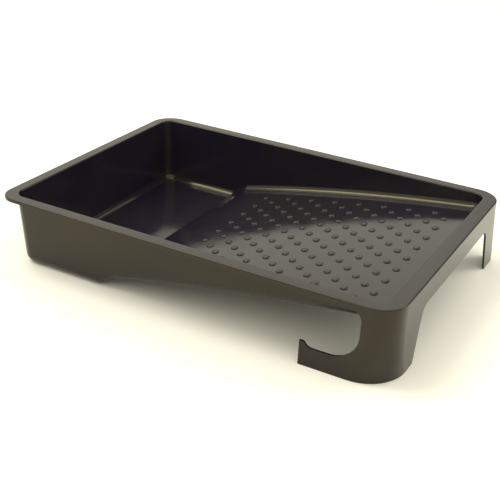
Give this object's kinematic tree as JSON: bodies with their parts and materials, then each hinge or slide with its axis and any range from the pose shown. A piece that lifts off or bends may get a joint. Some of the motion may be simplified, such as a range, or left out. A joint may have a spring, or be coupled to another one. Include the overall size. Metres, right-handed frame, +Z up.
{
  "type": "paint roller tray",
  "caption": "Black plastic paint roller tray: deep well, step up to a sloping bumped ramp, flanged rim, and legs with a ladder hook at the shallow end.",
  "frame": {"origin": "centre of the tray's outline, on the surface it stands on", "axes": "+X from the deep end to the shallow end, +Y across to the side without the ladder hook, +Z up"},
  "size_m": [0.396, 0.28, 0.0704],
  "materials": {
    "black_polypropylene": "satin, slightly glossy moulded black plastic with an olive-brown cast"
  },
  "bodies": {
    "root": {"well_floor": "black_polypropylene", "step": "black_polypropylene", "ramp": "black_polypropylene", "deep_end_wall": "black_polypropylene", "near_side_wall": "black_polypropylene", "far_side_wall": "black_polypropylene", "flange_deep_end": "black_polypropylene", "flange_near_side": "black_polypropylene", "flange_far_side": "black_polypropylene", "flange_shallow_end": "black_polypropylene", "end_skirt": "black_polypropylene", "near_leg": "black_polypropylene", "far_leg": "black_polypropylene", "ladder_hook": "black_polypropylene"}
  },
  "joints": []
}
